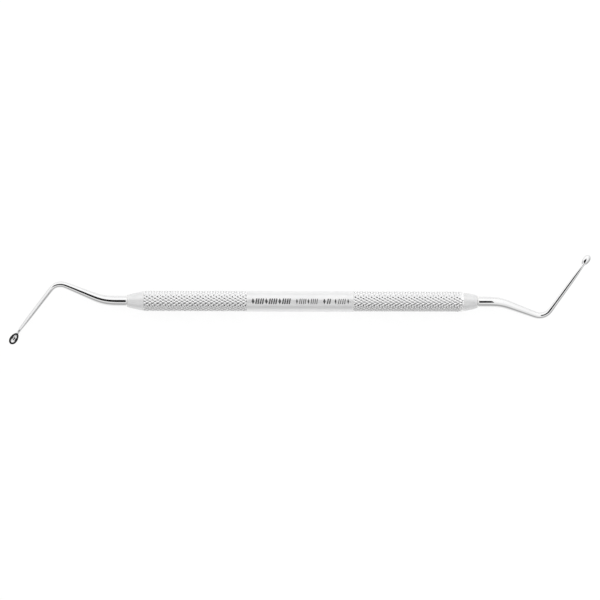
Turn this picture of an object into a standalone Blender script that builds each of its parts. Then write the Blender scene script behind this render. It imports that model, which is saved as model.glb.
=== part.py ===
"""Double-ended spoon excavator: a knurled round handle with a bent working end brazed into each nose.

Metres. +X runs along the handle, +Z is up, and the instrument lies at rest: the handle on its lowest
line, rolled until the left spoon touches the table. The origin is under the middle of the handle.
"""

import math

import bmesh
import bpy
import numpy as np
from mathutils import Euler, Matrix, Vector

MM = 0.001

# Handle, from the left mouth to the right one
HANDLE_LENGTH = 104.8 * MM
LEFT_NOSE = 4.95 * MM
LEFT_KNURL = 30.8 * MM
PLAIN_BAND = 32.0 * MM
RIGHT_KNURL = 31.5 * MM
RUN_OUT = 1.3 * MM
BAND_DIAMETER = 6.24 * MM
KNURL_DIAMETER = 6.18 * MM
LEFT_SHOULDER_DIAMETER = 5.9 * MM
RUN_OUT_DIAMETER = 5.6 * MM
LEFT_MOUTH_DIAMETER = 3.7 * MM
RIGHT_MOUTH_DIAMETER = 3.8 * MM
NOSE_BULGE = 0.09 * MM
NOSE_STEPS = 5
EDGE_CHAMFER = 0.1 * MM
TURNED_SEGMENTS = 40

# Sockets and the tangs that fill them
SOCKET_DIAMETER = 3.3 * MM
SOCKET_DEPTH = 12.2 * MM
DRILL_POINT = 1.0 * MM
TANG_LENGTH = 12.0 * MM

# Braze fillet where a shank leaves its nose
FILLET_LENGTH = 0.5 * MM
FILLET_BORE = 3.26 * MM
FILLET_DIAMETER = 3.64 * MM
FILLET_TOE = 0.06 * MM
FILLET_GAP = 0.01 * MM

# Working ends. Run, reach and leg are straight lengths from corner to corner of the centreline. Contra and
# knee are the bends between them, and toe turns the spoon sideways against the leg, all in degrees
LEFT_END = {
    "run": 7.1 * MM,
    "contra": 23.0,
    "reach": 15.2 * MM,
    "knee": 75.4,
    "leg": 22.15 * MM,
    "toe": -3.0,
}
RIGHT_END = {
    "run": 6.95 * MM,
    "contra": 20.7,
    "reach": 14.4 * MM,
    "knee": 77.1,
    "leg": 21.5 * MM,
    "toe": 2.0,
}
CONTRA_RADIUS = 12.5 * MM
KNEE_RADIUS = 3.7 * MM
NECK_RADIUS = 2.0 * MM
SPOON_PITCH = 12.0
NECK_TO_SPOON = 3.2 * MM
NECK_END = 2.3 * MM
BEND_STEP = 13.0
RING_STEP = 2.2 * MM

# Shank diameter against distance from the mouth along the left end's centreline. The right leg is shorter,
# so past its knee the same diameters come that much sooner
LEG_START = 24.5 * MM
TAPER = (
    (-12.0 * MM, 3.1 * MM),
    (0.0 * MM, 3.2 * MM),
    (5.0 * MM, 3.15 * MM),
    (12.0 * MM, 2.5 * MM),
    (18.0 * MM, 2.08 * MM),
    (21.0 * MM, 1.9 * MM),
    (24.5 * MM, 1.54 * MM),
    (31.0 * MM, 1.42 * MM),
    (36.5 * MM, 1.32 * MM),
    (38.3 * MM, 1.18 * MM),
    (39.9 * MM, 0.92 * MM),
)

# Spoon: the rim is an egg outline, the cup is hollow above it and the back is round below it
SPOON_LENGTH = 3.8 * MM
SPOON_WIDTH = 2.35 * MM
SPOON_EGG = 0.14
SPOON_BACK = 1.0 * MM
CUP_DEPTH = 0.62 * MM
RIM_LAND = 0.52 * MM
RIM_ABOVE_NECK = 0.45 * MM
CUP_LEVELS = (25.0, 50.0, 75.0)
BACK_LEVELS = (18.0, 40.0, 62.0, 80.0)
SHANK_SIDES = 8
SPOON_SIDES = 16
SUBDIVISIONS = 1

REST_ROLL = 15.8

STEEL_SATIN = ("satin_steel", (0.72, 0.72, 0.73), 0.38)
STEEL_POLISHED = ("polished_steel", (0.82, 0.82, 0.83), 0.08)
BRAZE = ("silver_braze", (0.86, 0.84, 0.8), 0.25)


def clear_scene():
    for obj in list(bpy.data.objects):
        bpy.data.objects.remove(obj, do_unlink=True)


def metal(finish):
    """A Principled material for one of the finishes above."""
    name, colour, roughness = finish
    material = bpy.data.materials.get(name) or bpy.data.materials.new(name)
    material.use_nodes = True
    shader = material.node_tree.nodes["Principled BSDF"]
    shader.inputs["Base Color"].default_value = (*colour, 1.0)
    shader.inputs["Metallic"].default_value = 1.0
    shader.inputs["Roughness"].default_value = roughness
    return material


def add_object(name, bm, finish, parent=None):
    """Turns a bmesh into a shaded object of that name."""
    bmesh.ops.recalc_face_normals(bm, faces=bm.faces)
    mesh = bpy.data.meshes.new(name)
    bm.to_mesh(mesh)
    bm.free()
    mesh.shade_smooth()
    mesh.set_sharp_from_angle(angle=math.radians(30))
    mesh.materials.append(metal(finish))
    obj = bpy.data.objects.new(name, mesh)
    obj.parent = parent
    bpy.context.scene.collection.objects.link(obj)
    return obj


def bridge(bm, near, far):
    """Quads between two rings of vertices, or triangles where one of them is a single vertex."""
    count = max(len(near), len(far))
    for i in range(count):
        j = (i + 1) % count
        corners = [near[i % len(near)], near[j % len(near)], far[j % len(far)], far[i % len(far)]]
        bm.faces.new(list(dict.fromkeys(corners)))


def turned(profile, closed=False):
    """Solid of revolution about X from (x, radius) points, with one of its flats facing straight down."""
    bm = bmesh.new()
    rings = []
    for x, radius in profile:
        if radius == 0:
            rings.append([bm.verts.new((x, 0, 0))])
            continue
        reach = radius / math.cos(math.pi / TURNED_SEGMENTS)
        ring = []
        for i in range(TURNED_SEGMENTS):
            angle = math.tau * (i + 0.5) / TURNED_SEGMENTS
            ring.append(bm.verts.new((x, reach * math.cos(angle), reach * math.sin(angle))))
        rings.append(ring)
    for near, far in zip(rings, rings[1:]):
        bridge(bm, near, far)
    if closed:
        bridge(bm, rings[-1], rings[0])
    return bm


def nose_profile(mouth_x, shoulder_x, mouth_radius, shoulder_radius):
    """Points of a rounded nose from its mouth to its shoulder: a straight taper with an even bulge."""
    points = []
    for i in range(NOSE_STEPS + 1):
        share = i / NOSE_STEPS
        bulge = NOSE_BULGE * math.sin(math.pi * share)
        radius = mouth_radius + (shoulder_radius - mouth_radius) * share + bulge
        points.append((mouth_x + (shoulder_x - mouth_x) * share, radius))
    return points


def make_handle():
    """One turned bar: a socket and a nose at each end, two knurled grips and a plain band."""
    left_mouth = -HANDLE_LENGTH / 2
    right_mouth = HANDLE_LENGTH / 2
    left_shoulder = left_mouth + LEFT_NOSE
    left_band = left_shoulder + LEFT_KNURL
    right_band = left_band + PLAIN_BAND
    right_shoulder = right_band + RIGHT_KNURL
    run_out_end = right_shoulder + RUN_OUT
    socket = SOCKET_DIAMETER / 2
    band = BAND_DIAMETER / 2
    knurl = KNURL_DIAMETER / 2
    left_floor = left_mouth + SOCKET_DEPTH
    right_floor = right_mouth - SOCKET_DEPTH

    profile = [(left_floor + DRILL_POINT, 0), (left_floor, socket), (left_mouth, socket)]
    profile += nose_profile(left_mouth, left_shoulder, LEFT_MOUTH_DIAMETER / 2, LEFT_SHOULDER_DIAMETER / 2)
    profile += [(left_shoulder + EDGE_CHAMFER, knurl), (left_band - EDGE_CHAMFER, knurl)]
    profile += [(left_band, band - EDGE_CHAMFER), (left_band + EDGE_CHAMFER, band)]
    profile += [(right_band - EDGE_CHAMFER, band), (right_band, band - EDGE_CHAMFER)]
    profile += [(right_band + EDGE_CHAMFER, knurl), (right_shoulder, knurl)]
    profile += nose_profile(right_mouth, run_out_end, RIGHT_MOUTH_DIAMETER / 2, RUN_OUT_DIAMETER / 2)[::-1]
    profile += [(right_mouth, socket), (right_floor, socket), (right_floor - DRILL_POINT, 0)]
    handle = add_object("handle", turned(profile), STEEL_SATIN)
    handle.location.z = band
    return handle


def make_fillet(name, side, parent):
    """Ring of braze on the mouth face, feathering out along the shank. side is -1 at the left mouth."""
    face = HANDLE_LENGTH / 2 + FILLET_GAP
    bore = FILLET_BORE / 2
    profile = [
        (side * face, bore),
        (side * face, FILLET_DIAMETER / 2),
        (side * (face + 0.3 * FILLET_LENGTH), (FILLET_DIAMETER / 2 + bore) / 2),
        (side * (face + FILLET_LENGTH), bore + FILLET_TOE),
        (side * (face + FILLET_LENGTH), bore),
    ]
    return add_object(name, turned(profile, closed=True), BRAZE, parent)


class Centreline:
    """Walks along a working end. Each station is (frame, distance from the mouth): frame X is the way on,
    Y is the side that the contra-angle turns to, and Z is square to the bend plane."""

    def __init__(self, start):
        self.distance = start
        self.frame = Matrix.Translation((start, 0, 0))
        self.stations = [(self.frame.copy(), self.distance)]

    def straight(self, length):
        steps = max(1, round(length / RING_STEP))
        for _ in range(steps):
            self.frame = self.frame @ Matrix.Translation((length / steps, 0, 0))
            self.distance += length / steps
            self.stations.append((self.frame.copy(), self.distance))

    def bend(self, degrees, radius, axis):
        """Turns about the frame's own axis, on an arc of that radius."""
        steps = max(1, round(abs(degrees) / BEND_STEP))
        turn = math.radians(degrees) / steps
        chord = 2 * radius * math.sin(abs(turn) / 2)
        half = Matrix.Rotation(turn / 2, 4, axis)
        for _ in range(steps):
            self.frame = self.frame @ half @ Matrix.Translation((chord, 0, 0)) @ half
            self.distance += radius * abs(turn)
            self.stations.append((self.frame.copy(), self.distance))


def tangent_length(degrees, radius):
    """Distance from a bend's corner to where its arc starts."""
    return radius * math.tan(math.radians(degrees) / 2)


def walk(end):
    """Stations of one working end from the bottom of its socket to the end of its neck."""
    contra = tangent_length(end["contra"], CONTRA_RADIUS)
    knee = tangent_length(end["knee"], KNEE_RADIUS)
    neck = tangent_length(SPOON_PITCH, NECK_RADIUS)
    line = Centreline(-TANG_LENGTH)
    line.straight(TANG_LENGTH)
    line.straight(end["run"] - contra)
    line.bend(end["contra"], CONTRA_RADIUS, "Z")
    line.straight(end["reach"] - contra - knee)
    line.bend(-end["knee"], KNEE_RADIUS, "Z")
    line.straight(end["leg"] - knee - NECK_TO_SPOON - neck)
    line.bend(-SPOON_PITCH, NECK_RADIUS, "Y")
    line.frame = line.frame @ Matrix.Rotation(math.radians(end["toe"]), 4, "Z")
    line.straight(NECK_TO_SPOON - neck - NECK_END)
    return line.stations


def smoothed_share(sides):
    """How much of a ring's radius Catmull-Clark subdivision keeps."""
    return (2 + math.cos(math.tau / sides)) / 3


def shank_ring(bm, frame, radius):
    """Ring of cage vertices round a station, counted from the frame's Y towards its Z."""
    reach = radius / smoothed_share(SHANK_SIDES)
    ring = []
    for i in range(SHANK_SIDES):
        angle = math.tau * i / SHANK_SIDES
        offset = Vector((0, reach * math.cos(angle), reach * math.sin(angle)))
        ring.append(bm.verts.new(frame @ offset))
    return ring


def spoon_ring(bm, frame, inset, share, height):
    """Ring of cage vertices on the egg outline, shrunk by inset and share, at a height above the rim."""
    reach = share / smoothed_share(SPOON_SIDES)
    ring = []
    for i in range(SPOON_SIDES):
        angle = math.tau * i / SPOON_SIDES
        along = (SPOON_LENGTH / 2 - inset) * math.cos(angle)
        across = (SPOON_WIDTH / 2 - inset) * math.sin(angle) * (1 + SPOON_EGG * math.cos(angle))
        ring.append(bm.verts.new(frame @ Vector((along * reach, across * reach, height))))
    return ring


def add_spoon(bm, frame, crease):
    """Spoon cage with a hole in its back for the neck. Returns the hole's vertices, from the top round."""
    rings = []
    for level in reversed(CUP_LEVELS):
        share = math.cos(math.radians(level))
        rings.append(spoon_ring(bm, frame, RIM_LAND, share, -CUP_DEPTH * math.sin(math.radians(level))))
    rings.append(spoon_ring(bm, frame, RIM_LAND, 1, 0))
    rings.append(spoon_ring(bm, frame, 0, 1, 0))
    back = []
    for level in BACK_LEVELS:
        share = math.cos(math.radians(level))
        back.append(spoon_ring(bm, frame, 0, share, -SPOON_BACK * math.sin(math.radians(level))))

    bm.faces.new(rings[0])
    bm.faces.new(back[-1])
    loops = rings + back
    for near, far in zip(loops, loops[1:]):
        bridge(bm, near, far)
    for ring in rings[-2:]:
        for i, vertex in enumerate(ring):
            bm.edges.get((vertex, ring[i - 1]))[crease] = 1.0

    middle = SPOON_SIDES // 2
    top, centre, bottom = back[0], back[1], back[2]
    bmesh.ops.delete(bm, geom=[centre[middle]], context="VERTS")
    return [
        top[middle],
        top[middle + 1],
        centre[middle + 1],
        bottom[middle + 1],
        bottom[middle],
        bottom[middle - 1],
        centre[middle - 1],
        top[middle - 1],
    ]


def working_end_cage(end, cup_side):
    """One forged piece: tang, tapering bent shank, neck and spoon. The cup opens to cup_side along Z."""
    bm = bmesh.new()
    crease = bm.edges.layers.float.new("crease_edge")
    distances, diameters = zip(*TAPER)
    missing = LEFT_END["reach"] + LEFT_END["leg"] - end["reach"] - end["leg"]
    rings = []
    stations = walk(end)
    for frame, distance in stations:
        shift = missing if distance > LEG_START else 0
        diameter = np.interp(distance + shift, distances, diameters)
        rings.append(shank_ring(bm, frame, diameter / 2))
    for near, far in zip(rings, rings[1:]):
        bridge(bm, near, far)
    bm.faces.new(rings[0])
    for i, vertex in enumerate(rings[0]):
        bm.edges.get((vertex, rings[0][i - 1]))[crease] = 1.0

    spoon_frame = stations[-1][0] @ Matrix.Translation((NECK_END, 0, RIM_ABOVE_NECK))
    hole = add_spoon(bm, spoon_frame, crease)
    quarter = SHANK_SIDES // 4
    neck = rings[-1][quarter:] + rings[-1][:quarter]
    bridge(bm, neck, hole)
    bmesh.ops.scale(bm, vec=(1, 1, cup_side), verts=bm.verts)
    return bm


def make_working_end(name, end, cup_side, turn, parent):
    """Places a working end with its mouth at the handle's left or right mouth."""
    obj = add_object(name, working_end_cage(end, cup_side), STEEL_POLISHED, parent)
    obj.rotation_euler = Euler([math.radians(angle) for angle in turn])
    obj.location = obj.rotation_euler.to_matrix() @ Vector((HANDLE_LENGTH / 2, 0, 0))
    smooth = obj.modifiers.new("rounding", "SUBSURF")
    smooth.levels = SUBDIVISIONS
    smooth.render_levels = SUBDIVISIONS
    return obj


def main():
    clear_scene()
    make_handle()
    bend_plane = bpy.data.objects.new("bend_plane", None)
    bend_plane.location.z = BAND_DIAMETER / 2
    bend_plane.rotation_euler.x = math.radians(REST_ROLL)
    bpy.context.scene.collection.objects.link(bend_plane)
    make_working_end("working_end_left", LEFT_END, -1, (0, 180, 0), bend_plane)
    make_working_end("working_end_right", RIGHT_END, 1, (180, 0, 0), bend_plane)
    make_fillet("braze_fillet_left", -1, bend_plane)
    make_fillet("braze_fillet_right", 1, bend_plane)


main()
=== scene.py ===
"""Double-ended spoon excavator lying on a pale light table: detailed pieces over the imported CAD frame."""

import math

import bmesh
import bpy
import numpy as np
from mathutils import Euler, Matrix, Vector


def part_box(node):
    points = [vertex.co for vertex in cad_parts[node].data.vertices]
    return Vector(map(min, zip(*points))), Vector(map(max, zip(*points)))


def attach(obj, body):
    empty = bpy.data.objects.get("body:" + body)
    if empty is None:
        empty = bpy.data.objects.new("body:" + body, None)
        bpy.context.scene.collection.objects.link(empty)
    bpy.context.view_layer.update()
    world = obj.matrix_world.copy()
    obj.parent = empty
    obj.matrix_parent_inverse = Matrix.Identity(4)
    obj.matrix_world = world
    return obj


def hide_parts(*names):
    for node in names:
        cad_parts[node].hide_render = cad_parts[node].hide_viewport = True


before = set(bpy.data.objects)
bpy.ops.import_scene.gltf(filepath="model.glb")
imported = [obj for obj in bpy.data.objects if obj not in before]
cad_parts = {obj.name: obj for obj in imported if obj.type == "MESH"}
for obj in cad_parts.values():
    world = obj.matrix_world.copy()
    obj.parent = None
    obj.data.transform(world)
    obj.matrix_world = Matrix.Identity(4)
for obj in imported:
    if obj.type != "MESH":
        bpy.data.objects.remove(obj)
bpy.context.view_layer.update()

MM = 0.001
handle_low, handle_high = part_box("handle")
AXIS_Z = (handle_low[2] + handle_high[2]) / 2
LEFT_MOUTH = handle_low[0]
RIGHT_MOUTH = handle_high[0]
BAND_RADIUS = (handle_high[2] - handle_low[2]) / 2

# Handle zones, from the left mouth to the right one. The right grip runs out between its shoulder and the
# nose, which starts slimmer than the left one
LEFT_SHOULDER = LEFT_MOUTH + 4.95 * MM
LEFT_BAND = LEFT_SHOULDER + 30.8 * MM
RIGHT_BAND = LEFT_BAND + 32.0 * MM
RIGHT_SHOULDER = RIGHT_BAND + 31.5 * MM
NOSE_END = RIGHT_MOUTH - 4.25 * MM
LEFT_MOUTH_RADIUS = 1.85 * MM
LEFT_SHOULDER_RADIUS = 2.94 * MM
RIGHT_MOUTH_RADIUS = 1.9 * MM
RUN_OUT_RADIUS = 2.8 * MM
NOSE_BULGE = 0.09 * MM
NOSE_STEPS = 24
SOCKET_RADIUS = 1.65 * MM
SOCKET_DEPTH = 12.2 * MM
DRILL_POINT = 1.0 * MM
SMOOTH_SEGMENTS = 192
BAND_STEPS = 24

# Knurl: two families of helical V-grooves, each at 30 degrees to the handle's axis. The samples are where a
# groove's section has its corners, in shares of the spacing, counted from the middle of the groove
KNURL_STARTS = 21
KNURL_PITCH = 1.6 * MM
KNURL_DEPTH = 0.27 * MM
LEFT_CREST = 3.085 * MM
RIGHT_CREST = 3.06 * MM
GROOVE_SAMPLES = (-0.44, -0.37, -0.06, 0.06, 0.37, 0.44)

# Groups of marks on the plain band: start, number of marks, pitch, half of a line's width and of its height
MARK_GROUPS = (
    (-15.4 * MM, 9, 1.33 * MM, 0.2 * MM, 0.85 * MM),
    (-2.2 * MM, 6, 1.15 * MM, 0.12 * MM, 0.8 * MM),
    (5.9 * MM, 2, 1.35 * MM, 0.18 * MM, 0.8 * MM),
    (9.3 * MM, 4, 1.25 * MM, 0.12 * MM, 0.8 * MM),
)

# Working ends, as in the CAD model. Run, reach and leg are straight lengths from corner to corner of the
# centreline. Contra and knee are the bends between them, and toe turns the spoon sideways, all in degrees
LEFT_END = {
    "run": 7.1 * MM,
    "contra": 23.0,
    "reach": 15.2 * MM,
    "knee": 75.4,
    "leg": 22.15 * MM,
    "toe": -3.0,
}
RIGHT_END = {
    "run": 6.95 * MM,
    "contra": 20.7,
    "reach": 14.4 * MM,
    "knee": 77.1,
    "leg": 21.5 * MM,
    "toe": 2.0,
}
TANG_LENGTH = 12.0 * MM
CONTRA_RADIUS = 12.5 * MM
KNEE_RADIUS = 3.7 * MM
NECK_RADIUS = 2.0 * MM
SPOON_PITCH = 12.0
NECK_TO_SPOON = 3.2 * MM
NECK_END = 2.3 * MM
BEND_STEP = 13.0
RING_STEP = 2.2 * MM

# Shank diameter against distance from the mouth along the left end's centreline. The right leg is shorter,
# so past its knee the same diameters come that much sooner
LEG_START = 24.5 * MM
TAPER = (
    (-12.0 * MM, 3.1 * MM),
    (0.0 * MM, 3.2 * MM),
    (5.0 * MM, 3.15 * MM),
    (12.0 * MM, 2.5 * MM),
    (18.0 * MM, 2.08 * MM),
    (21.0 * MM, 1.9 * MM),
    (24.5 * MM, 1.54 * MM),
    (31.0 * MM, 1.42 * MM),
    (36.5 * MM, 1.32 * MM),
    (38.3 * MM, 1.18 * MM),
    (39.9 * MM, 0.92 * MM),
)

# Spoon: the rim is an egg outline, the cup is hollow above it and the back is round below it
SPOON_LENGTH = 3.8 * MM
SPOON_WIDTH = 2.35 * MM
SPOON_EGG = 0.14
SPOON_BACK = 1.0 * MM
CUP_DEPTH = 0.62 * MM
RIM_LAND = 0.52 * MM
RIM_ABOVE_NECK = 0.45 * MM
CUP_LEVELS = (25.0, 50.0, 75.0)
BACK_LEVELS = (18.0, 40.0, 62.0, 80.0)
SHANK_SIDES = 8
SPOON_SIDES = 16
SUBDIVISIONS = 3
REST_ROLL = 15.8

# Ring of braze round each shank
BRAZE_BORE = 1.605 * MM
BRAZE_ROWS = 9
BRAZE_SEGMENTS = 96

# Light table, the camera over it and the black card above the camera. The card's outline is counted from the
# camera's axis, in metres, and its corners decide where the dark lines mirrored in the metal end
TABLE_RADIUS = 6.0
TABLE_SIDES = 64
TABLE_GAP = 0.02 * MM
CAMERA_HEIGHT = 0.6
CAMERA_AIM = (-0.705 * MM, 0.405 * MM)
CAMERA_ROLL = 0.147
VIEW_WIDTH = 0.18
SENSOR_WIDTH = 36
CARD_ABOVE_CAMERA = 0.01
CARD_OUTLINE = (
    (0.165, 0.23),
    (-0.6, 0.23),
    (-0.6, -0.03),
    (-0.17, -0.29),
    (-0.13, -0.33),
    (-0.07, -0.33),
    (-0.07, -0.65),
    (0.09, -0.65),
    (0.09, -0.28),
    (0.165, -0.17),
)


# ---------------------------------------------------------------- materials


class Nodes:
    """Short calls for building a node tree."""

    def __init__(self, tree):
        self.tree = tree

    def add(self, kind, values=(), **settings):
        node = self.tree.nodes.new(kind)
        for name, value in settings.items():
            setattr(node, name, value)
        for socket, value in dict(values).items():
            if isinstance(value, bpy.types.NodeSocket):
                self.tree.links.new(value, node.inputs[socket])
            else:
                node.inputs[socket].default_value = value
        return node

    def math(self, operation, *values):
        return self.add("ShaderNodeMath", dict(enumerate(values)), operation=operation).outputs[0]

    def remap(self, value, low, high, to_low, to_high):
        names = ("Value", "From Min", "From Max", "To Min", "To Max")
        node = self.add("ShaderNodeMapRange", dict(zip(names, (value, low, high, to_low, to_high))))
        return node.outputs["Result"]

    def noise(self, vector, scale, detail=3.0, roughness=0.5):
        values = {"Vector": vector, "Scale": scale, "Detail": detail, "Roughness": roughness}
        return self.add("ShaderNodeTexNoise", values).outputs["Fac"]

    def mix(self, factor, first, second):
        node = self.add("ShaderNodeMix", {0: factor, 6: first, 7: second}, data_type="RGBA")
        return node.outputs[2]

    def ramp(self, value, stops):
        node = self.add("ShaderNodeValToRGB", {"Fac": value})
        elements = node.color_ramp.elements
        while len(elements) < len(stops):
            elements.new(0.5)
        for element, (position, grey) in zip(elements, stops):
            element.position = position
            element.color = (grey, grey, grey, 1)
        return node.outputs["Color"]


def new_material(name):
    material = bpy.data.materials.new(name)
    material.use_nodes = True
    material.node_tree.nodes.clear()
    return material, Nodes(material.node_tree)


def finish_material(nodes, values, height, strength, distance):
    """A Principled shader with a bump of that height field."""
    bump = nodes.add("ShaderNodeBump", {"Height": height, "Strength": strength, "Distance": distance})
    shader = nodes.add("ShaderNodeBsdfPrincipled", {**values, "Normal": bump.outputs["Normal"]})
    nodes.add("ShaderNodeOutputMaterial", {"Surface": shader.outputs["BSDF"]})


def satin_steel():
    """Turned bar: satin lines round its axis, and brighter rolled metal on the knurls, whose grooves are
    darkened partly by residue and partly by painted shade.
    """
    material, nodes = new_material("satin_steel")
    place = nodes.add("ShaderNodeTexCoord").outputs["Object"]
    split = nodes.add("ShaderNodeSeparateXYZ", {"Vector": place})
    x = split.outputs["X"]
    long_lines = nodes.add("ShaderNodeMapping", {"Vector": place, "Scale": (16000.0, 260.0, 260.0)})
    lines = nodes.noise(long_lines.outputs["Vector"], 1.0, 4.0, 0.6)
    broad = nodes.add("ShaderNodeMapping", {"Vector": place, "Scale": (3000.0, 160.0, 160.0)})
    bands = nodes.noise(broad.outputs["Vector"], 1.0, 2.0)
    blotches = nodes.noise(place, 420.0, 3.0)
    depth_share = nodes.add("ShaderNodeAttribute", attribute_name="groove").outputs["Fac"]
    groove = nodes.remap(depth_share, 0.3, 0.8, 0.0, 1.0)
    from_middle = nodes.math("ABSOLUTE", nodes.math("SUBTRACT", x, (LEFT_BAND + RIGHT_BAND) / 2))
    past_left = nodes.math("GREATER_THAN", x, LEFT_SHOULDER)
    between_noses = nodes.math("MULTIPLY", past_left, nodes.math("LESS_THAN", x, NOSE_END))
    past_band = nodes.math("GREATER_THAN", from_middle, (RIGHT_BAND - LEFT_BAND) / 2)
    in_knurl = nodes.math("MULTIPLY", between_noses, past_band)
    in_nose = nodes.math("SUBTRACT", 1.0, between_noses)
    off_knurl = nodes.math("SUBTRACT", 1.0, in_knurl)

    tone = nodes.remap(blotches, 0.3, 0.7, 0.0, 1.0)
    brushed = nodes.mix(tone, (0.87, 0.87, 0.875, 1), (0.91, 0.91, 0.91, 1))
    rolled = nodes.mix(tone, (0.91, 0.91, 0.915, 1), (0.95, 0.95, 0.95, 1))
    clean = nodes.mix(in_knurl, brushed, rolled)
    # Painted shade, partly residue: the deeper a point lies in a knurl groove, the more its colour is mixed
    # towards near-black
    colour = nodes.mix(nodes.math("MULTIPLY", groove, 0.22), clean, (0.08, 0.08, 0.082, 1))
    smooth_rough = nodes.remap(lines, 0.3, 0.7, 0.42, 0.5)
    smooth_rough = nodes.math("MULTIPLY_ADD", in_nose, 0.14, smooth_rough)
    knurl_rough = nodes.remap(blotches, 0.3, 0.7, 0.14, 0.2)
    smooth_share = nodes.math("MULTIPLY", off_knurl, smooth_rough)
    rough = nodes.math("ADD", smooth_share, nodes.math("MULTIPLY", in_knurl, knurl_rough))
    knurl_metal = nodes.remap(in_knurl, 0.0, 1.0, 0.56, 0.95)
    height = nodes.math("ADD", nodes.math("MULTIPLY", lines, 0.7), nodes.math("MULTIPLY", bands, 0.3))
    values = {
        "Base Color": colour,
        "Metallic": nodes.math("MULTIPLY_ADD", in_nose, -0.12, knurl_metal),
        "Roughness": rough,
        "Anisotropic": nodes.math("MULTIPLY", off_knurl, 0.95),
        "Anisotropic Rotation": 0.25,
        "Tangent": nodes.add("ShaderNodeTangent", direction_type="RADIAL", axis="X").outputs[0],
    }
    finish_material(nodes, values, height, 0.25, 0.004 * MM)
    return material


def polished_steel():
    """Mirror-bright steel with faint polishing scratches and a slight unevenness from hand finishing."""
    material, nodes = new_material("polished_steel")
    place = nodes.add("ShaderNodeTexCoord").outputs["Object"]
    fine = nodes.add("ShaderNodeMapping", {"Vector": place, "Scale": (9000.0, 9000.0, 700.0)})
    scratches = nodes.noise(fine.outputs["Vector"], 1.0, 4.0, 0.6)
    waves = nodes.noise(place, 260.0, 2.0)
    tone = nodes.remap(nodes.noise(place, 700.0, 2.0), 0.3, 0.7, 0.0, 1.0)
    colour = nodes.mix(tone, (0.79, 0.79, 0.795, 1), (0.82, 0.82, 0.82, 1))
    rough = nodes.remap(scratches, 0.3, 0.7, 0.03, 0.09)
    height = nodes.math("ADD", nodes.math("MULTIPLY", scratches, 0.25), nodes.math("MULTIPLY", waves, 0.75))
    values = {"Base Color": colour, "Metallic": 1.0, "Roughness": rough}
    finish_material(nodes, values, height, 0.12, 0.01 * MM)
    return material


def silver_braze():
    """Wiped braze metal: a little warmer and softer than the steel, with small ripples."""
    material, nodes = new_material("silver_braze")
    place = nodes.add("ShaderNodeTexCoord").outputs["Object"]
    ripples = nodes.noise(place, 3500.0, 3.0)
    stain = nodes.remap(nodes.noise(place, 1200.0, 2.0), 0.35, 0.7, 0.0, 1.0)
    colour = nodes.mix(stain, (0.88, 0.88, 0.875, 1), (0.82, 0.815, 0.805, 1))
    rough = nodes.remap(ripples, 0.3, 0.7, 0.2, 0.34)
    values = {"Base Color": colour, "Metallic": 1.0, "Roughness": rough}
    finish_material(nodes, values, ripples, 0.3, 0.01 * MM)
    return material


def laser_mark():
    """Dark oxide left by a marking laser, mottled along its scan lines."""
    material, nodes = new_material("laser_mark")
    place = nodes.add("ShaderNodeTexCoord").outputs["Object"]
    scan = nodes.add("ShaderNodeMapping", {"Vector": place, "Scale": (2500.0, 14000.0, 2500.0)})
    lines = nodes.noise(scan.outputs["Vector"], 1.0, 3.0)
    tone = nodes.remap(lines, 0.3, 0.7, 0.0, 1.0)
    colour = nodes.mix(tone, (0.06, 0.06, 0.062, 1), (0.13, 0.13, 0.13, 1))
    rough = nodes.remap(lines, 0.3, 0.7, 0.45, 0.6)
    values = {"Base Color": colour, "Metallic": 0.4, "Roughness": rough}
    finish_material(nodes, values, lines, 0.2, 0.004 * MM)
    return material


# ---------------------------------------------------------------- meshes


def add_piece(name, bm, material, node, sharp=30.0):
    """Turns a bmesh into a shaded piece, which stands for a CAD node if one is named. Edges where the surface
    turns by more than that many degrees are shaded sharp."""
    bmesh.ops.recalc_face_normals(bm, faces=bm.faces)
    mesh = bpy.data.meshes.new(name)
    bm.to_mesh(mesh)
    bm.free()
    mesh.shade_smooth()
    mesh.set_sharp_from_angle(angle=math.radians(sharp))
    mesh.materials.append(material)
    obj = bpy.data.objects.new(name, mesh)
    bpy.context.scene.collection.objects.link(obj)
    if node:
        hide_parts(node)
    return obj


def bridge(bm, near, far):
    """Quads between two rings of vertices, or triangles where one of them is a single vertex."""
    count = max(len(near), len(far))
    for i in range(count):
        j = (i + 1) % count
        corners = [near[i % len(near)], near[j % len(near)], far[j % len(far)], far[i % len(far)]]
        bm.faces.new(list(dict.fromkeys(corners)))


def turn_of(vertex):
    """A vertex's angle round X, from 0 to one turn."""
    return math.atan2(vertex.co.z, vertex.co.y) % math.tau


def zip_loops(bm, first, second):
    """Triangles between two loops round X that may have different numbers of vertices."""
    first = sorted(first, key=turn_of)
    second = sorted(second, key=turn_of)
    i = j = 0
    while i < len(first) or j < len(second):
        next_first = turn_of(first[i + 1]) if i + 1 < len(first) else math.tau
        next_second = turn_of(second[j + 1]) if j + 1 < len(second) else math.tau
        here, there = first[i % len(first)], second[j % len(second)]
        if j >= len(second) or (i < len(first) and next_first <= next_second):
            bm.faces.new((here, there, first[(i + 1) % len(first)]))
            i += 1
        else:
            bm.faces.new((here, there, second[(j + 1) % len(second)]))
            j += 1


def ring(bm, x, radius):
    """Ring of vertices round X, or a single one where the radius is 0."""
    if radius == 0:
        return [bm.verts.new((x, 0, 0))]
    made = []
    for i in range(SMOOTH_SEGMENTS):
        angle = math.tau * (i + 0.5) / SMOOTH_SEGMENTS
        made.append(bm.verts.new((x, radius * math.cos(angle), radius * math.sin(angle))))
    return made


def turned_rings(bm, profile):
    """Turned skin through (x, radius) points. Returns its first and last ring."""
    rings = [ring(bm, x, radius) for x, radius in profile]
    for near, far in zip(rings, rings[1:]):
        bridge(bm, near, far)
    return rings[0], rings[-1]


def nose_radius(share, mouth, shoulder):
    """Radius of a nose at a share of its length from its mouth: a straight taper with an even bulge."""
    return mouth + (shoulder - mouth) * share + NOSE_BULGE * math.sin(math.pi * share)


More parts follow.
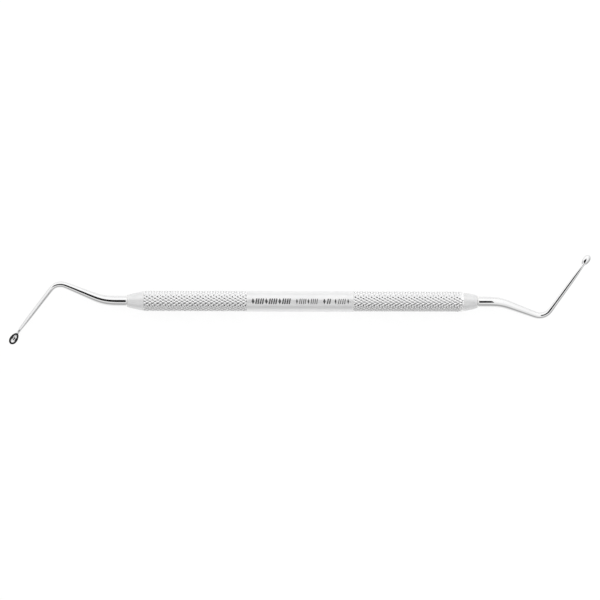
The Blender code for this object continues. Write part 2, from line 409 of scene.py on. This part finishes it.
def mouth_profile(mouth_x, inward, mouth):
    """Bore from its drill point out, and the mouth with its broken edges. inward is 1 at the left mouth."""
    edge = 0.05 * MM
    return [
        (mouth_x + inward * (SOCKET_DEPTH + DRILL_POINT), 0),
        (mouth_x + inward * SOCKET_DEPTH, SOCKET_RADIUS),
        (mouth_x + inward * edge, SOCKET_RADIUS),
        (mouth_x, SOCKET_RADIUS + edge),
        (mouth_x, mouth - 1.4 * edge),
        (mouth_x + inward * 0.4 * edge, mouth - 0.5 * edge),
    ]


def nose_profile(mouth_x, shoulder_x, mouth, shoulder):
    """Rounded nose from just behind its mouth to its shoulder."""
    points = []
    for i in range(1, NOSE_STEPS + 1):
        share = i / NOSE_STEPS
        points.append((mouth_x + (shoulder_x - mouth_x) * share, nose_radius(share, mouth, shoulder)))
    return points


def groove_share(phase):
    """How far down a groove of one family reaches at a phase: 1 on its floor, 0 on the crest."""
    off = np.abs(phase - np.round(phase))
    return np.interp(off, GROOVE_SAMPLES[3:], (1.0, 0.1, 0.0))


def knurl(bm, x_from, x_to, crest, skin_radius):
    """Knurled skin cut off square at both ends. skin_radius(x) caps the crests where the bar tapers.
    Returns the vertices of the left and right edge."""
    depth_share = bm.verts.layers.float["groove"]
    per = len(GROOVE_SAMPLES)
    around = KNURL_STARTS * per
    half_pitch = KNURL_PITCH / 2
    margin = 0.6 * MM  # more than a cell, so that the end cuts go through whole cells
    made = {}

    def phase(index):
        return index // per + GROOVE_SAMPLES[index % per]

    for a in range(around):
        phase_a = phase(a)
        low = math.floor((phase_a - (x_to + margin) / half_pitch) * per) - 1
        high = math.ceil((phase_a - (x_from - margin) / half_pitch) * per) + 1
        for b in range(low, high + 1):
            phase_b = phase(b)
            x = (phase_a - phase_b) * half_pitch
            if not x_from - margin < x < x_to + margin:
                continue
            angle = (phase_a + phase_b) / 2 * math.tau / KNURL_STARTS
            down = max(groove_share(phase_a), groove_share(phase_b))
            skin = min(crest, skin_radius(x))
            radius = min(crest - KNURL_DEPTH * down, skin)
            made[a, b] = bm.verts.new((x, radius * math.cos(angle), radius * math.sin(angle)))
            # This depth share also drives the darkening of the grooves in the satin steel, partly residue and
            # partly painted shade
            made[a, b][depth_share] = (skin - radius) / KNURL_DEPTH

    def at(a, b):
        turns = a // around
        return made.get((a - turns * around, b - turns * around))

    # A cell where the flanks of two crossing grooves meet is split along the ridge between them
    mirror = {0: 4, 4: 0, 1: 3, 3: 1}
    for a, b in made:
        corners = [at(a, b), at(a + 1, b), at(a + 1, b + 1), at(a, b + 1)]
        if None in corners:
            continue
        kind_a, kind_b = a % per, b % per
        if kind_a == kind_b and kind_a in mirror:
            bm.faces.new((corners[0], corners[1], corners[2]))
            bm.faces.new((corners[0], corners[2], corners[3]))
        elif mirror.get(kind_a) == kind_b:
            bm.faces.new((corners[0], corners[1], corners[3]))
            bm.faces.new((corners[1], corners[2], corners[3]))
        else:
            bm.faces.new(corners)

    # Dictionaries keep the geometry in one order, so that every run gives the same mesh
    vertices = list(made.values())
    for x, side in ((x_from, -1), (x_to, 1)):
        edges = dict.fromkeys(e for v in vertices for e in v.link_edges)
        faces = dict.fromkeys(f for e in edges for f in e.link_faces)
        geometry = [*vertices, *edges, *faces]
        cut = bmesh.ops.bisect_plane(
            bm, geom=geometry, dist=1e-9, plane_co=(x, 0, 0), plane_no=(side, 0, 0), clear_outer=True
        )
        on_cut = [v for v in cut["geom_cut"] if isinstance(v, bmesh.types.BMVert)]
        vertices = list(dict.fromkeys([v for v in vertices if v.is_valid] + on_cut))

    def boundary_at(x):
        at_x = [v for v in vertices if abs(v.co.x - x) < 1e-8]
        return [v for v in at_x if any(e.is_boundary for e in v.link_edges)]

    return boundary_at(x_from), boundary_at(x_to)


def soften_knurl(mesh):
    """Lets the shading run round the knurl's crests and valleys, which rolling leaves slightly rounded."""
    places = np.empty(len(mesh.vertices) * 3)
    mesh.vertices.foreach_get("co", places)
    x = places[::3]
    clear = 0.001 * MM
    in_left = (x > LEFT_SHOULDER + clear) & (x < LEFT_BAND - clear)
    in_right = (x > RIGHT_BAND + clear) & (x < NOSE_END)
    ends = np.empty(len(mesh.edges) * 2, int)
    mesh.edges.foreach_get("vertices", ends)
    in_knurl = (in_left | in_right)[ends.reshape(-1, 2)].all(axis=1)
    sharp = mesh.attributes["sharp_edge"].data
    values = np.empty(len(mesh.edges), bool)
    sharp.foreach_get("value", values)
    values[in_knurl] = False
    sharp.foreach_set("value", values)


def make_handle(material):
    """The whole bar as one closed skin: noses with their sockets, two knurls and the plain band."""
    bm = bmesh.new()
    bm.verts.layers.float.new("groove")
    left_nose = mouth_profile(LEFT_MOUTH, 1, LEFT_MOUTH_RADIUS)
    left_nose += nose_profile(LEFT_MOUTH, LEFT_SHOULDER, LEFT_MOUTH_RADIUS, LEFT_SHOULDER_RADIUS)
    left_rim = turned_rings(bm, left_nose)[1]

    def left_skin(x):
        return LEFT_CREST

    def right_skin(x):
        """Full height up to the shoulder, then a rounded run-out down to the nose, then the nose itself."""
        share = (RIGHT_MOUTH - x) / (RIGHT_MOUTH - NOSE_END)
        if x < RIGHT_SHOULDER:
            return RIGHT_CREST
        if share > 1:
            rise = (share - 1) * (RIGHT_MOUTH - NOSE_END) / (NOSE_END - RIGHT_SHOULDER)
            return RUN_OUT_RADIUS + (RIGHT_CREST - RUN_OUT_RADIUS) * math.sin(min(rise, 1.0) * math.pi / 2)
        return nose_radius(share, RIGHT_MOUTH_RADIUS, RUN_OUT_RADIUS)

    left_start, left_end = knurl(bm, LEFT_SHOULDER, LEFT_BAND, LEFT_CREST, left_skin)
    knurl_stop = NOSE_END + 0.2 * MM
    right_start, right_end = knurl(bm, RIGHT_BAND, knurl_stop, RIGHT_CREST, right_skin)
    zip_loops(bm, left_rim, left_start)

    corner = 0.07 * MM
    step_down = 0.16 * MM
    band_profile = [
        (LEFT_BAND, BAND_RADIUS - step_down),
        (LEFT_BAND + 0.6 * corner, BAND_RADIUS - 0.5 * corner),
        (LEFT_BAND + 1.6 * corner, BAND_RADIUS),
    ]
    for i in range(1, BAND_STEPS):
        band_profile.append((LEFT_BAND + (RIGHT_BAND - LEFT_BAND) * i / BAND_STEPS, BAND_RADIUS))
    band_profile += [(LEFT_BAND + RIGHT_BAND - x, radius) for x, radius in band_profile[2::-1]]
    band_left, band_right = turned_rings(bm, band_profile)
    zip_loops(bm, left_end, band_left)
    zip_loops(bm, band_right, right_start)

    right_nose = mouth_profile(RIGHT_MOUTH, -1, RIGHT_MOUTH_RADIUS)
    for x, radius in nose_profile(RIGHT_MOUTH, NOSE_END, RIGHT_MOUTH_RADIUS, RUN_OUT_RADIUS):
        if x > knurl_stop + 0.05 * MM:
            right_nose.append((x, radius))
    right_rim = turned_rings(bm, right_nose)[1]
    zip_loops(bm, right_end, right_rim)
    handle = add_piece("knurled_handle", bm, material, "handle", sharp=24.0)
    soften_knurl(handle.data)
    handle.location.z = AXIS_Z
    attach(handle, "root")


def add_mark(bm, x, half_width, half_height, lean, taper):
    """Thin curved plate on top of the plain band: a post, a slash if it leans, a diamond if it tapers."""
    outer = BAND_RADIUS + 0.006 * MM
    inner = BAND_RADIUS - 0.02 * MM
    steps = 10
    columns = []
    for i in range(steps + 1):
        share = 2 * i / steps - 1
        turn = share * half_height / BAND_RADIUS
        middle = x + lean * share
        reach = half_width * (1 - taper * abs(share))
        column = []
        for along, radius in ((-1, outer), (1, outer), (1, inner), (-1, inner)):
            place = (middle + along * reach, radius * math.sin(turn), radius * math.cos(turn))
            column.append(bm.verts.new(place))
        columns.append(column)
    for near, far in zip(columns, columns[1:]):
        bridge(bm, near, far)
    bm.faces.new(columns[0])
    bm.faces.new(columns[-1])


def make_marks(material):
    """Plain ornament where the real bar is engraved: diamonds and slashes in groups, with no lettering."""
    bm = bmesh.new()
    for start, count, pitch, half_width, half_height in MARK_GROUPS:
        for i in range(count):
            middle = start + pitch * (i + 0.5)
            if i % 3 == 0:
                add_mark(bm, middle, 2.2 * half_width, half_height, lean=0, taper=0.9)
                continue
            for side in (-1, 1):
                place = middle + side * 0.24 * pitch
                add_mark(bm, place, half_width, half_height, lean=0.12 * pitch, taper=0)
    marks = add_piece("plain_marks", bm, material, None)
    marks.location.z = AXIS_Z
    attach(marks, "root")


class Centreline:
    """Walks along a working end. Each station is (frame, distance from the mouth): frame X is the way on,
    Y is the side that the contra-angle turns to, and Z is square to the bend plane."""

    def __init__(self, start):
        self.distance = start
        self.frame = Matrix.Translation((start, 0, 0))
        self.stations = [(self.frame.copy(), self.distance)]

    def straight(self, length):
        steps = max(1, round(length / RING_STEP))
        for _ in range(steps):
            self.frame = self.frame @ Matrix.Translation((length / steps, 0, 0))
            self.distance += length / steps
            self.stations.append((self.frame.copy(), self.distance))

    def bend(self, degrees, radius, axis):
        """Turns about the frame's own axis, on an arc of that radius."""
        steps = max(1, round(abs(degrees) / BEND_STEP))
        turn = math.radians(degrees) / steps
        chord = 2 * radius * math.sin(abs(turn) / 2)
        half = Matrix.Rotation(turn / 2, 4, axis)
        for _ in range(steps):
            self.frame = self.frame @ half @ Matrix.Translation((chord, 0, 0)) @ half
            self.distance += radius * abs(turn)
            self.stations.append((self.frame.copy(), self.distance))


def tangent_length(degrees, radius):
    """Distance from a bend's corner to where its arc starts."""
    return radius * math.tan(math.radians(degrees) / 2)


def walk(end):
    """Stations of one working end from the bottom of its socket to the end of its neck."""
    contra = tangent_length(end["contra"], CONTRA_RADIUS)
    knee = tangent_length(end["knee"], KNEE_RADIUS)
    neck = tangent_length(SPOON_PITCH, NECK_RADIUS)
    line = Centreline(-TANG_LENGTH)
    line.straight(TANG_LENGTH)
    line.straight(end["run"] - contra)
    line.bend(end["contra"], CONTRA_RADIUS, "Z")
    line.straight(end["reach"] - contra - knee)
    line.bend(-end["knee"], KNEE_RADIUS, "Z")
    line.straight(end["leg"] - knee - NECK_TO_SPOON - neck)
    line.bend(-SPOON_PITCH, NECK_RADIUS, "Y")
    line.frame = line.frame @ Matrix.Rotation(math.radians(end["toe"]), 4, "Z")
    line.straight(NECK_TO_SPOON - neck - NECK_END)
    return line.stations


def smoothed_share(sides):
    """How much of a ring's radius Catmull-Clark subdivision keeps."""
    return (2 + math.cos(math.tau / sides)) / 3


def shank_ring(bm, place, radius):
    """Ring of cage vertices round a station, counted from the frame's Y towards its Z."""
    reach = radius / smoothed_share(SHANK_SIDES)
    made = []
    for i in range(SHANK_SIDES):
        angle = math.tau * i / SHANK_SIDES
        made.append(bm.verts.new(place @ Vector((0, reach * math.cos(angle), reach * math.sin(angle)))))
    return made


def spoon_ring(bm, place, inset, share, height):
    """Ring of cage vertices on the egg outline, shrunk by inset and share, at a height above the rim."""
    reach = share / smoothed_share(SPOON_SIDES)
    made = []
    for i in range(SPOON_SIDES):
        angle = math.tau * i / SPOON_SIDES
        along = (SPOON_LENGTH / 2 - inset) * math.cos(angle)
        across = (SPOON_WIDTH / 2 - inset) * math.sin(angle) * (1 + SPOON_EGG * math.cos(angle))
        made.append(bm.verts.new(place @ Vector((along * reach, across * reach, height))))
    return made


def add_spoon(bm, place, crease):
    """Spoon cage with a hole in its back for the neck. Returns the hole's vertices, from the top round."""
    rings = []
    for level in reversed(CUP_LEVELS):
        share = math.cos(math.radians(level))
        rings.append(spoon_ring(bm, place, RIM_LAND, share, -CUP_DEPTH * math.sin(math.radians(level))))
    rings.append(spoon_ring(bm, place, RIM_LAND, 1, 0))
    rings.append(spoon_ring(bm, place, 0, 1, 0))
    back = []
    for level in BACK_LEVELS:
        share = math.cos(math.radians(level))
        back.append(spoon_ring(bm, place, 0, share, -SPOON_BACK * math.sin(math.radians(level))))

    bm.faces.new(rings[0])
    bm.faces.new(back[-1])
    loops = rings + back
    for near, far in zip(loops, loops[1:]):
        bridge(bm, near, far)
    for loop in rings[-2:]:
        for i, vertex in enumerate(loop):
            bm.edges.get((vertex, loop[i - 1]))[crease] = 1.0

    middle = SPOON_SIDES // 2
    top, centre, bottom = back[0], back[1], back[2]
    bmesh.ops.delete(bm, geom=[centre[middle]], context="VERTS")
    return [
        top[middle],
        top[middle + 1],
        centre[middle + 1],
        bottom[middle + 1],
        bottom[middle],
        bottom[middle - 1],
        centre[middle - 1],
        top[middle - 1],
    ]


def make_working_end(name, end, cup_side, turn, material):
    """One forged piece: tang, tapering bent shank, neck and spoon, in the place of its CAD node."""
    bm = bmesh.new()
    crease = bm.edges.layers.float.new("crease_edge")
    distances, diameters = zip(*TAPER)
    longer = end["reach"] + end["leg"] - LEFT_END["reach"] - LEFT_END["leg"]
    rings = []
    stations = walk(end)
    for place, distance in stations:
        shift = longer if distance > LEG_START else 0
        diameter = np.interp(distance - shift, distances, diameters)
        rings.append(shank_ring(bm, place, diameter / 2))
    for near, far in zip(rings, rings[1:]):
        bridge(bm, near, far)
    bm.faces.new(rings[0])
    for i, vertex in enumerate(rings[0]):
        bm.edges.get((vertex, rings[0][i - 1]))[crease] = 1.0
    spoon_place = stations[-1][0] @ Matrix.Translation((NECK_END, 0, RIM_ABOVE_NECK))
    hole = add_spoon(bm, spoon_place, crease)
    quarter = SHANK_SIDES // 4
    bridge(bm, rings[-1][quarter:] + rings[-1][:quarter], hole)

    to_row = Matrix.Translation((0, 0, AXIS_Z)) @ Matrix.Rotation(math.radians(REST_ROLL), 4, "X")
    to_row = to_row @ Euler([math.radians(angle) for angle in turn]).to_matrix().to_4x4()
    to_row = to_row @ Matrix.Translation((RIGHT_MOUTH, 0, 0)) @ Matrix.Diagonal((1, 1, cup_side, 1))
    bmesh.ops.transform(bm, matrix=to_row, verts=bm.verts)
    obj = add_piece("polished_" + name, bm, material, name)
    # Only the creased edges are shaded sharp: the rim's two outlines and the end of the tang
    for edge, creased in zip(obj.data.edges, obj.data.attributes["crease_edge"].data):
        edge.use_edge_sharp = creased.value == 1.0
    smooth = obj.modifiers.new("rounding", "SUBSURF")
    smooth.levels = SUBDIVISIONS
    smooth.render_levels = SUBDIVISIONS
    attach(obj, "root")


def make_braze(name, side, material):
    """Concave ring of braze between the mouth face and the shank, with a slightly wandering toe."""
    low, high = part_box(name)
    face = low[0] if side > 0 else high[0]
    outer = (high[1] - low[1]) / 2
    length = high[0] - low[0]
    toe = 0.004 * MM
    swell = 0.012 * MM
    bm = bmesh.new()
    loops = []
    for row in range(BRAZE_ROWS + 2):
        loop = []
        for i in range(BRAZE_SEGMENTS):
            angle = math.tau * i / BRAZE_SEGMENTS
            wander = 0.04 * math.sin(3 * angle + side) + 0.03 * math.sin(7 * angle + 2 * side)
            share = min(row, BRAZE_ROWS) / BRAZE_ROWS
            x = face + side * length * share * (1 + wander)
            radius = BRAZE_BORE + (outer - BRAZE_BORE) * (1 - share) ** 1.8 + swell * (1 - share)
            if row == BRAZE_ROWS:
                radius = BRAZE_BORE + toe
            if row == BRAZE_ROWS + 1:
                x, radius = face, BRAZE_BORE - toe
            loop.append(bm.verts.new((x, radius * math.cos(angle), radius * math.sin(angle))))
        loops.append(loop)
    for near, far in zip(loops, loops[1:]):
        bridge(bm, near, far)
    bridge(bm, loops[-1], loops[0])
    obj = add_piece("ring_of_" + name, bm, material, name, sharp=50.0)
    obj.location.z = AXIS_Z
    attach(obj, "root")


# ---------------------------------------------------------------- surroundings


def make_floor():
    """Pale acrylic sheet of a light table: it glows evenly, so shadows on it are faint."""
    material, nodes = new_material("light_table")
    place = nodes.add("ShaderNodeTexCoord").outputs["Object"]
    grain = nodes.remap(nodes.noise(place, 300.0, 3.0), 0.3, 0.7, 0.985, 1.0)
    colour = nodes.add("ShaderNodeCombineColor", {0: grain, 1: grain, 2: grain}).outputs[0]
    matt = nodes.add("ShaderNodeBsdfDiffuse", {"Color": (0.16, 0.16, 0.16, 1)})
    glow = nodes.add("ShaderNodeEmission", {"Color": colour, "Strength": 0.905})
    both = nodes.add("ShaderNodeAddShader", {0: matt.outputs[0], 1: glow.outputs[0]})
    gloss = nodes.add("ShaderNodeBsdfGlossy", {"Color": (1, 1, 1, 1), "Roughness": 0.2})
    fresnel = nodes.add("ShaderNodeFresnel", {"IOR": 1.49})
    layers = {0: fresnel.outputs[0], 1: both.outputs[0], 2: gloss.outputs[0]}
    skin = nodes.add("ShaderNodeMixShader", layers)
    nodes.add("ShaderNodeOutputMaterial", {"Surface": skin.outputs[0]})
    bm = bmesh.new()
    outline = []
    for i in range(TABLE_SIDES):
        angle = math.tau * i / TABLE_SIDES
        place = (TABLE_RADIUS * math.cos(angle), TABLE_RADIUS * math.sin(angle), -TABLE_GAP)
        outline.append(bm.verts.new(place))
    bm.faces.new(outline)
    mesh = bpy.data.meshes.new("table_top")
    bm.to_mesh(mesh)
    bm.free()
    mesh.materials.append(material)
    table = bpy.data.objects.new("table_top", mesh)
    bpy.context.scene.collection.objects.link(table)


def make_camera_card():
    """Black card over the table, which only reflections see. Polished metal mirrors it as a dark line."""
    material, nodes = new_material("black_card")
    place = nodes.add("ShaderNodeTexCoord").outputs["Object"]
    tone = nodes.remap(nodes.noise(place, 40.0), 0.3, 0.7, 0.01, 0.02)
    colour = nodes.add("ShaderNodeCombineColor", {0: tone, 1: tone, 2: tone}).outputs[0]
    matt = nodes.add("ShaderNodeBsdfDiffuse", {"Color": colour})
    nodes.add("ShaderNodeOutputMaterial", {"Surface": matt.outputs[0]})
    bm = bmesh.new()
    bm.faces.new([bm.verts.new((x, y, 0)) for x, y in CARD_OUTLINE])
    mesh = bpy.data.meshes.new("camera_card")
    bm.to_mesh(mesh)
    bm.free()
    mesh.materials.append(material)
    card = bpy.data.objects.new("camera_card", mesh)
    card.location = (*CAMERA_AIM, AXIS_Z + CAMERA_HEIGHT + CARD_ABOVE_CAMERA)
    card.visible_camera = False
    card.visible_diffuse = False
    card.visible_shadow = False
    bpy.context.scene.collection.objects.link(card)


def make_world():
    """White light tent, dimmer low on the near side and far out to the left and right. Tilt is the angle of
    a direction round X: 0 is straight up, 90 the near side and -90 the far side."""
    world = bpy.data.worlds.new("light_tent")
    world.use_nodes = True
    world.node_tree.nodes.clear()
    nodes = Nodes(world.node_tree)
    direction = nodes.add("ShaderNodeTexCoord").outputs["Generated"]
    x, y, z = nodes.add("ShaderNodeSeparateXYZ", {"Vector": direction}).outputs
    tilt = nodes.math("ARCTAN2", nodes.math("MULTIPLY", y, -1.0), z)
    share = nodes.remap(tilt, -math.pi, math.pi, 0.0, 1.0)

    def stop(degrees, grey):
        """A ramp stop at that tilt."""
        return (0.5 + degrees / 360, grey)

    strip = nodes.ramp(
        share,
        (
            stop(-90, 0.5),
            stop(-78, 0.95),
            stop(-45, 0.95),
            stop(0, 0.9),
            stop(20, 0.76),
            stop(44, 0.74),
            stop(60, 0.36),
            stop(87, 0.36),
        ),
    )
    right_side = nodes.remap(x, 0.5, 0.72, 1.29, 1.05)
    ends = nodes.remap(nodes.math("ABSOLUTE", x), 0.88, 0.97, 1.0, 0.48)
    strength = nodes.math("MULTIPLY", right_side, ends)
    shade = nodes.add("ShaderNodeBackground", {"Color": strip, "Strength": strength})
    nodes.add("ShaderNodeOutputWorld", {"Surface": shade.outputs[0]})
    bpy.context.scene.world = world


def make_camera():
    """Camera looking straight down, with the whole instrument across its view."""
    data = bpy.data.cameras.new("camera")
    data.sensor_width = SENSOR_WIDTH
    data.lens = SENSOR_WIDTH * CAMERA_HEIGHT / VIEW_WIDTH
    data.clip_start = 0.01
    data.clip_end = 50
    camera = bpy.data.objects.new("camera", data)
    camera.location = (*CAMERA_AIM, AXIS_Z + CAMERA_HEIGHT)
    camera.rotation_euler.z = math.radians(CAMERA_ROLL)
    bpy.context.scene.collection.objects.link(camera)
    bpy.context.scene.camera = camera
    bpy.context.scene.view_settings.view_transform = "Standard"


make_handle(satin_steel())
make_marks(laser_mark())
polished = polished_steel()
make_working_end("working_end_left", LEFT_END, -1, (0, 180, 0), polished)
make_working_end("working_end_right", RIGHT_END, 1, (180, 0, 0), polished)
braze = silver_braze()
make_braze("braze_fillet_left", -1, braze)
make_braze("braze_fillet_right", 1, braze)
make_floor()
make_camera_card()
make_world()
make_camera()
